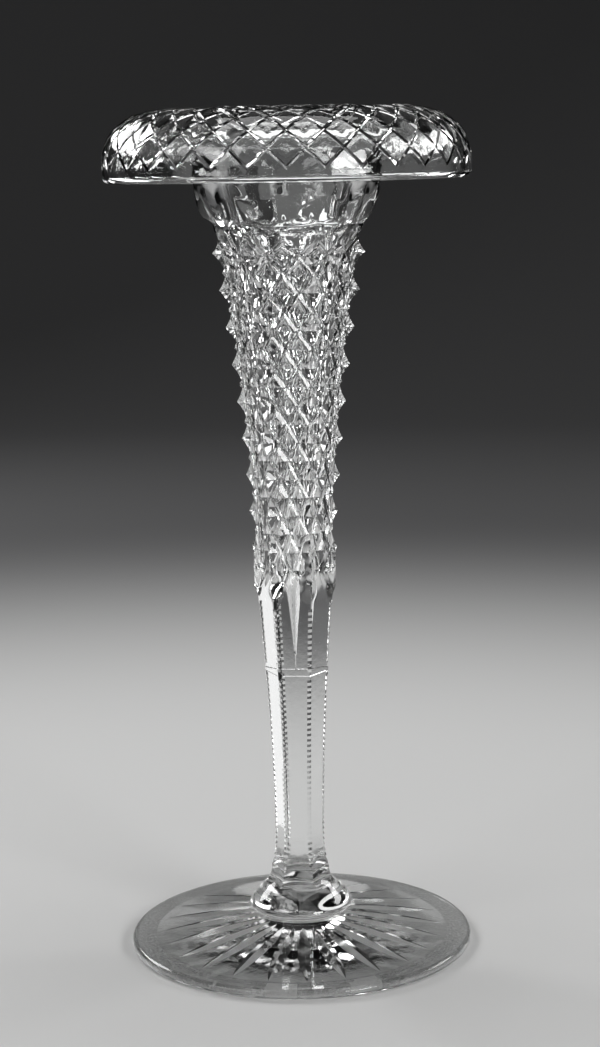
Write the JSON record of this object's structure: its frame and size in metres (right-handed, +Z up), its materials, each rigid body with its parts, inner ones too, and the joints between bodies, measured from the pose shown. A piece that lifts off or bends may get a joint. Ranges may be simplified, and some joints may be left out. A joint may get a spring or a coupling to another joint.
{
  "type": "posy vase",
  "caption": "Tall cut-glass posy vase: a diamond-cut trumpet bowl with a turned-over rim on a notched six-sided stem, a bell collar and a star-cut round foot.",
  "frame": {"origin": "centre of the flat ring that the foot stands on", "axes": "+Z up along the vase's axis; -Y towards the viewer, square to one panel of the stem; +X to the right, through a corner of the stem"},
  "size_m": [0.1274, 0.1274, 0.2989],
  "materials": {
    "bowl_glass": "clear colourless lead crystal, cut and polished",
    "stem_glass": "clear colourless lead crystal, panel cut and polished",
    "collar_glass": "clear colourless lead crystal, fire polished",
    "foot_glass": "clear colourless lead crystal, star cut underneath, polished"
  },
  "bodies": {
    "root": {"bowl": "bowl_glass", "stem": "stem_glass", "collar": "collar_glass", "foot": "foot_glass"}
  },
  "joints": []
}
